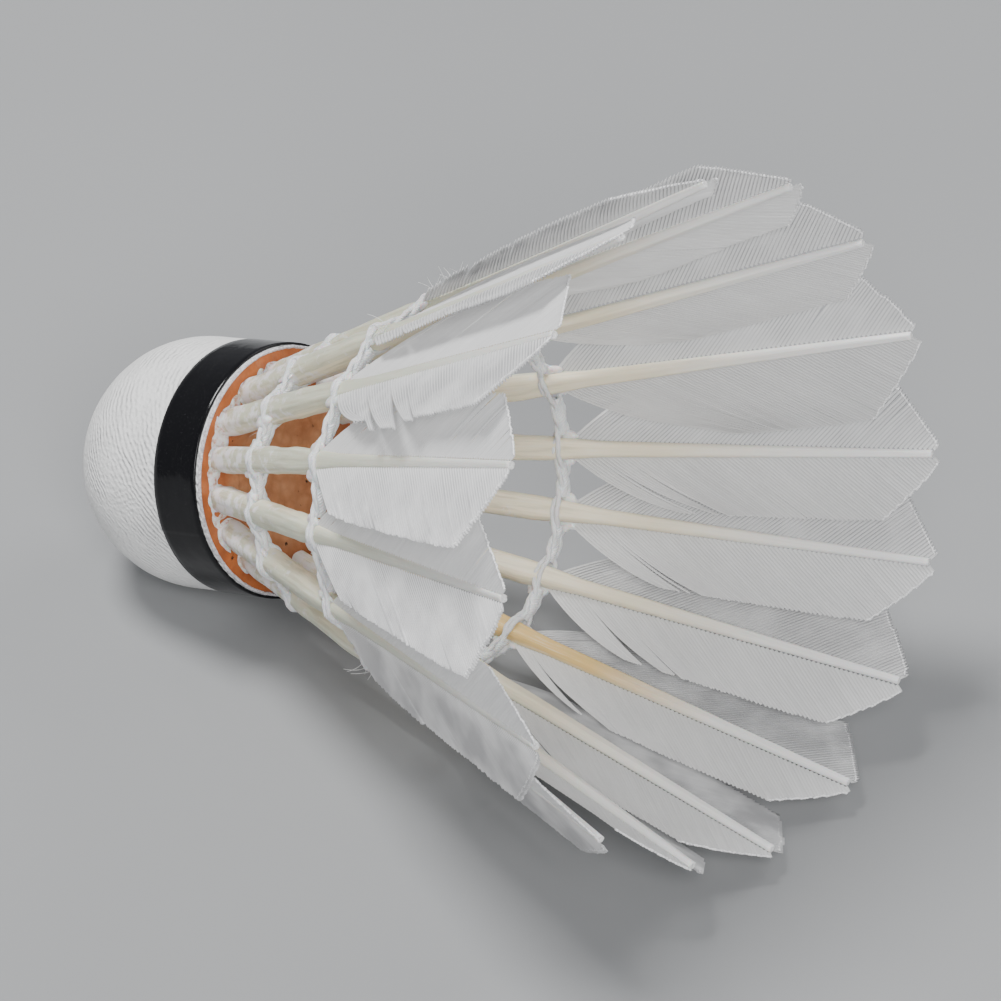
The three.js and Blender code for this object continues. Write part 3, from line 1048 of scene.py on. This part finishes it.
def make_light(name, position, size, power):
    """A round white area light that points at the object; size in metres, power in watts."""
    data = bpy.data.lights.new(name, "AREA")
    data.shape = "DISK"
    data.size = size
    data.energy = power
    light = bpy.data.objects.new(name, data)
    light.location = position
    light.rotation_euler = (CAMERA_AIM - Vector(position)).to_track_quat("-Z", "Y").to_euler()
    bpy.context.scene.collection.objects.link(light)


def make_world():
    """Weak, slightly cool light from all round."""
    world = bpy.data.worlds.new("soft_room")
    world.use_nodes = True
    backdrop = world.node_tree.nodes["Background"]
    backdrop.inputs["Color"].default_value = (0.92, 0.94, 1.0, 1.0)
    backdrop.inputs["Strength"].default_value = 0.25
    bpy.context.scene.world = world


def make_camera():
    """The camera, on the photo's line of sight."""
    outwards = Vector((
        math.cos(CAMERA_ELEVATION) * math.sin(CAMERA_AZIMUTH),
        -math.cos(CAMERA_ELEVATION) * math.cos(CAMERA_AZIMUTH),
        math.sin(CAMERA_ELEVATION),
    ))
    data = bpy.data.cameras.new("camera")
    data.lens = CAMERA_LENS
    data.sensor_width = CAMERA_SENSOR
    data.clip_start = 0.01
    camera = bpy.data.objects.new("camera", data)
    turn = outwards.to_track_quat("Z", "Y").to_matrix().to_4x4()
    roll = Matrix.Rotation(-CAMERA_ROLL, 4, "Z")
    camera.matrix_world = Matrix.Translation(CAMERA_AIM + outwards * CAMERA_DISTANCE) @ turn @ roll
    bpy.context.scene.collection.objects.link(camera)
    bpy.context.scene.camera = camera


# ---------------------------------------------------------------- the object


def carry_over(node, material):
    """A CAD node that stays, in its final material."""
    materials = frame["nodes"][node].data.materials
    materials.clear()
    materials.append(material)


make_camera()
make_floor()
make_world()
make_light("key", (-0.30, -0.05, 0.80), 0.32, 8.0)
make_light("fill", (0.62, -0.62, 0.62), 0.5, 9.5)
make_light("back", (0.2, 0.7, 0.6), 0.5, 2.5)

carry_over("cork_nose", inner_cork_paint())
cover_piece()
band_piece()
cork_top_piece()
root_glue_piece(glue_paint("root_glue_film", (0.60, 0.34, 0.24)))
pith = pith_paint()
quill_materials = [shaft_paint("shaft_horn", (0.88, 0.80, 0.61)), pith]
amber_materials = [shaft_paint("amber_horn", (0.80, 0.55, 0.21)), pith]
cut_material = cut_paint()
# The second number sets how strong the painted shade between the barbs is, and how deep their
# bumps are.
over_materials = [blade_paint("ribbed_blade", 0.85), cut_material]
under_materials = [blade_paint("smooth_blade", 0.07), cut_material]
for feather in feathers:
    shaft_piece(feather, amber_materials if feather.number == AMBER_FEATHER else quill_materials)
    blade_piece(feather, OVER, over_materials)
    under = WIDE_UNDER if feather.number in BROAD_FEATHERS else UNDER
    blade_piece(feather, under, under_materials)
thread_material = thread_paint()
for thread_name, thread_height in THREAD_HEIGHTS.items():
    thread_piece(thread_name, thread_height, thread_material)
thread_glue_piece(glue_paint("thread_glue_film", (0.80, 0.78, 0.76)))
